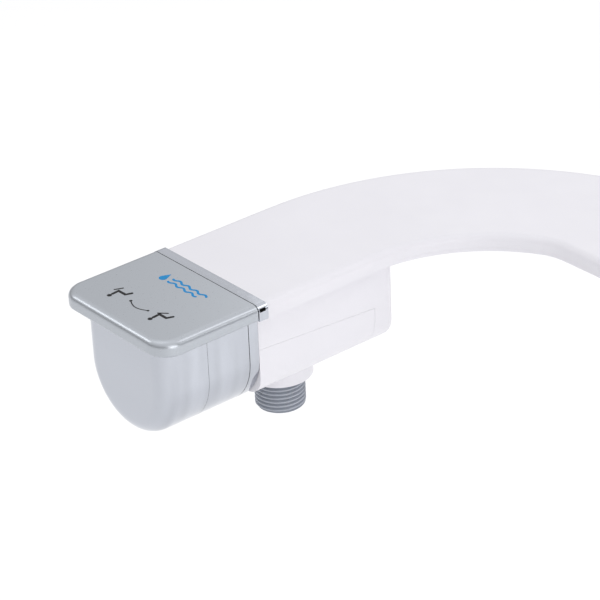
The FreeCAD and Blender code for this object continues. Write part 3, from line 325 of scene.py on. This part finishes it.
# ---- mesh tools --------------------------------------------------------------------------
def new_piece(name, vertices, faces, material, smooth_angle=None):
    mesh = bpy.data.meshes.new(name)
    mesh.from_pydata([Vector(v) * MM for v in vertices], [], faces)
    made = bmesh.new()
    made.from_mesh(mesh)
    bmesh.ops.recalc_face_normals(made, faces=made.faces)
    made.to_mesh(mesh)
    made.free()
    mesh.materials.append(material)
    if smooth_angle is not None:
        mesh.shade_smooth()
        mesh.set_sharp_from_angle(angle=math.radians(smooth_angle))
    obj = bpy.data.objects.new(name, mesh)
    bpy.context.scene.collection.objects.link(obj)
    return obj


def smooth_step(t):
    t = min(max(t, 0.0), 1.0)
    return t * t * (3 - 2 * t)


# ---- inlet fitting with its cut thread ---------------------------------------------------
def thread_radius(angle, height):
    """Right-hand thread with rounded crests and roots, run out at both ends."""
    turn = height / THREAD_PITCH - angle / (2 * math.pi)
    wave = 0.5 + 0.5 * math.cos(2 * math.pi * turn)
    flank = smooth_step(0.5 + (wave - 0.5) * FLANK_STEEPNESS)
    fade = smooth_step((THREAD_LENGTH - height) / THREAD_RUN_OUT)
    radius = THREAD_R - THREAD_DEPTH + THREAD_DEPTH * flank * fade
    return min(radius, THREAD_R - THREAD_LEAD_IN + height)


def build_fitting():
    x = (FITTING_LOW[0] + FITTING_HIGH[0]) / 2 / MM
    y = (FITTING_LOW[1] + FITTING_HIGH[1]) / 2 / MM
    z = FITTING_LOW[2] / MM
    top = FITTING_HIGH[2] / MM
    neck_top = z + NECK_TOP
    flange_top = neck_top + FLANGE_THICKNESS
    flange_r = (FITTING_HIGH[0] - FITTING_LOW[0]) / 2 / MM
    step_z = z + INLET_BORE_DEPTH
    inside = [(WATERWAY_R, top), (WATERWAY_R, step_z + 0.4), (WATERWAY_R + 0.4, step_z),
              (INLET_BORE_R, step_z), (INLET_BORE_R, z + 0.4), (INLET_BORE_R + 0.4, z)]
    rows = [[(r, h)] * THREAD_SIDES for r, h in inside]
    steps = int(THREAD_LENGTH / THREAD_PITCH * ROWS_PER_PITCH)
    for k in range(steps + 1):
        height = THREAD_LENGTH * k / steps
        rows.append([(thread_radius(2 * math.pi * s / THREAD_SIDES, height), z + height)
                     for s in range(THREAD_SIDES)])
    outside = [(NECK_R, neck_top), (flange_r, neck_top), (flange_r, flange_top), (SHANK_R, flange_top),
               (SHANK_R, top - GROOVE_LOW), (GROOVE_R, top - GROOVE_LOW),
               (GROOVE_R, top - GROOVE_HIGH), (SHANK_R, top - GROOVE_HIGH), (SHANK_R, top)]
    rows += [[(r, h)] * THREAD_SIDES for r, h in outside]
    vertices, faces = [], []
    for row in rows:
        for s, (r, h) in enumerate(row):
            a = 2 * math.pi * s / THREAD_SIDES
            vertices.append((x + r * math.cos(a), y + r * math.sin(a), h))
    count = len(rows)
    for k in range(count):
        for s in range(THREAD_SIDES):
            near, far = k * THREAD_SIDES, (k + 1) % count * THREAD_SIDES
            after = (s + 1) % THREAD_SIDES
            faces.append((near + s, near + after, far + after, far + s))
    fitting = new_piece("inlet_thread", vertices, faces, MATERIALS["grey_plastic"], 35)
    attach(fitting, "base")
    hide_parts("inlet_fitting")


# ---- printed marks -----------------------------------------------------------------------
def ribbon(points, width):
    """Outline of a stroke along the points, mitred at its bends and round at its ends."""
    points = [Vector(p) for p in points]
    half = width / 2
    sides = {1: [], -1: []}
    for k, at in enumerate(points):
        before = (at - points[k - 1]).normalized() if k else (points[1] - at).normalized()
        after = (points[k + 1] - at).normalized() if k + 1 < len(points) else before
        along = (before + after).normalized()
        reach = half / max(along.dot(before), 0.4)
        normal = Vector((-along.y, along.x))
        for side in sides:
            sides[side].append(at + normal * side * reach)

    def cap(centre, direction):
        start = math.atan2(direction.y, direction.x) + math.pi / 2
        return [centre + Vector((math.cos(start - a), math.sin(start - a))) * half
                for a in [math.pi * k / 10 for k in range(1, 10)]]

    ahead = (points[-1] - points[-2]).normalized()
    back = (points[0] - points[1]).normalized()
    return sides[1] + cap(points[-1], ahead) + sides[-1][::-1] + cap(points[0], back)


def disc(centre, radius, count=28):
    return [Vector(centre) + Vector((math.cos(a), math.sin(a))) * radius
            for a in [2 * math.pi * k / count for k in range(count)]]


def drop(centre, radius):
    """A water drop with its point to the tank side."""
    tip = 2.3 * radius
    rest = math.degrees(math.acos(radius / tip))
    start, end = 90 + rest, 450 - rest
    steps = 30
    outline = [Vector(centre) + Vector((0, tip))]
    for k in range(steps + 1):
        a = math.radians(start + (end - start) * k / steps)
        outline.append(Vector(centre) + Vector((math.cos(a), math.sin(a))) * radius)
    return outline


def printed(name, outlines, material):
    """Flat ink shapes on the knob's plate; outlines are measured from its middle and front edge."""
    x0 = (PLATE_LOW[0] + PLATE_HIGH[0]) / 2 / MM
    y0 = PLATE_LOW[1] / MM
    top = PLATE_HIGH[2] / MM
    vertices, faces = [], []
    for outline in outlines:
        base, count = len(vertices), len(outline)
        for z in (top - PRINT_SINK, top + PRINT_PROUD):
            vertices += [(x0 + p[0], y0 + p[1], z) for p in outline]
        faces.append(tuple(range(base + count, base + 2 * count)))
        faces.append(tuple(range(base + count - 1, base - 1, -1)))
        for k in range(count):
            after = (k + 1) % count
            faces.append((base + k, base + after, base + count + after, base + count + k))
    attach(new_piece(name, vertices, faces, material), "knob")


def seated_figure(x, y, jet_start, jet_end):
    """A plain seated figure whose head is nearest the front edge, with a jet under the seat."""
    limbs = [(x, y + 1.6), (x - 0.3, y + 4.7), (x + 4.0, y + 4.8), (x + 4.9, y + 7.2)]
    jet = [(x + dx, y + dy) for dx, dy in (jet_start, jet_end)]
    return [disc((x + 0.1, y), HEAD_R), ribbon(limbs, FIGURE_WIDTH), ribbon(jet, JET_WIDTH)]


def sweep_line():
    x, y = SWEEP_START
    return [(x + SWEEP_SPAN * k / SWEEP_STEPS, y - SWEEP_SAG * math.sin(math.pi * k / SWEEP_STEPS))
            for k in range(SWEEP_STEPS + 1)]


def wavy_line(row):
    length = WAVE_ENDS[row] - WAVE_START
    across = [WAVE_START + length * k / WAVE_STEPS for k in range(WAVE_STEPS + 1)]
    return [(u, WAVE_Y - row * WAVE_SPACING + WAVE_HEIGHT * math.sin(2 * math.pi * u / WAVE_LENGTH))
            for u in across]


def build_prints():
    black = print_ink("black_ink", (0.012, 0.012, 0.013))
    blue = print_ink("blue_ink", (0.008, 0.22, 0.50))
    printed("print_rear", seated_figure(REAR_FIGURE_X, FIGURE_Y, (-2.3, 4.2), (-0.9, 7.3)), black)
    printed("print_front", seated_figure(FRONT_FIGURE_X, FIGURE_Y, (-1.4, 4.9), (1.4, 7.5)), black)
    sweep = sweep_line()
    ends = [disc(sweep[0], 0.66), disc(sweep[-1], 0.56)]
    printed("print_sweep", [ribbon(sweep[1:-1], SWEEP_WIDTH)] + ends, black)
    waves = [ribbon(wavy_line(row), WAVE_WIDTH) for row in range(len(WAVE_ENDS))]
    printed("print_water", [drop(DROP_PLACE, DROP_R)] + waves, blue)


build_fitting()
build_prints()


# ---- studio ------------------------------------------------------------------------------
def floor():
    corners = [(x * FLOOR_HALF, y * FLOOR_HALF, FLOOR_Z) for x, y in ((-1, -1), (1, -1), (1, 1), (-1, 1))]
    mesh = bpy.data.meshes.new("floor")
    mesh.from_pydata(corners, [], [(0, 1, 2, 3)])
    m = Material("floor", (0.97, 0.97, 0.97), 0.9)
    m.shade(m.ranged(m.noise(220.0), 0.995, 1.005))
    mesh.materials.append(m.material)
    obj = bpy.data.objects.new("floor", mesh)
    bpy.context.scene.collection.objects.link(obj)


def sky():
    """Soft light from all round: dim at the horizon, bright overhead."""
    world = bpy.data.worlds.new("studio")
    bpy.context.scene.world = world
    world.use_nodes = True
    tree = world.node_tree
    background = tree.nodes["Background"]
    coordinates = tree.nodes.new("ShaderNodeTexCoord")
    split = tree.nodes.new("ShaderNodeSeparateXYZ")
    ramp = tree.nodes.new("ShaderNodeValToRGB")
    tree.links.new(coordinates.outputs["Generated"], split.inputs[0])
    tree.links.new(split.outputs[2], ramp.inputs[0])
    elements = ramp.color_ramp.elements
    while len(elements) < len(SKY):
        elements.new(0.5)
    for element, (position, value) in zip(elements, SKY):
        element.position = position
        element.color = (value, value, value * 1.01, 1.0)
    tree.links.new(ramp.outputs[0], background.inputs["Color"])
    background.inputs["Strength"].default_value = 1.0


def softbox(name, place, target, size, watts):
    light = bpy.data.lights.new(name, "AREA")
    light.shape = "RECTANGLE"
    light.size, light.size_y = size
    light.energy = watts
    obj = bpy.data.objects.new(name, light)
    obj.location = place
    direction = Vector(target) - Vector(place)
    obj.rotation_euler = direction.to_track_quat("-Z", "Y").to_euler()
    bpy.context.scene.collection.objects.link(obj)


def camera():
    azimuth, elevation, roll = [math.radians(angle) for angle in CAMERA_ANGLES]
    back = Vector((math.sin(azimuth) * math.cos(elevation), -math.cos(azimuth) * math.cos(elevation),
                   math.sin(elevation)))
    level_right = (-back).cross(Vector((0, 0, 1))).normalized()
    level_up = level_right.cross(-back)
    right = math.cos(roll) * level_right + math.sin(roll) * level_up
    up = -math.sin(roll) * level_right + math.cos(roll) * level_up
    data = bpy.data.cameras.new("camera")
    data.sensor_width = SENSOR_WIDTH
    data.lens = CAMERA_LENS
    data.clip_start = 0.05
    data.clip_end = 30.0
    obj = bpy.data.objects.new("camera", data)
    obj.matrix_world = Matrix.Translation(CAMERA_PLACE) @ Matrix((right, up, back)).transposed().to_4x4()
    bpy.context.scene.collection.objects.link(obj)
    bpy.context.scene.camera = obj


floor()
sky()
softbox("key", (1.3, -0.7, 0.55), (-0.2, -0.13, 0.0), (1.0, 1.0), 2.0)
softbox("fill", (1.2, -0.35, 0.10), (-0.2, -0.13, 0.0), (0.9, 0.6), 2.9)
softbox("top", (-0.5, -0.5, 1.3), (-0.25, -0.2, 0.0), (0.9, 0.9), 0.5)
softbox("back", (-0.95, 0.75, 0.62), (-0.22, -0.18, 0.0), (0.5, 0.5), 0.5)
softbox("rim_front", (-0.905, -0.657, 0.55), (-0.22, -0.18, 0.0), (0.3, 0.3), 0.55)
softbox("rim_side", (0.30, 0.425, 0.75), (-0.22, -0.18, 0.0), (0.3, 0.3), 0.45)
softbox("low", (0.45, 0.45, 0.25), (0.40, 0.40, -0.30), (0.4, 0.4), 0.95)
camera()
bpy.context.scene.view_settings.view_transform = "Standard"
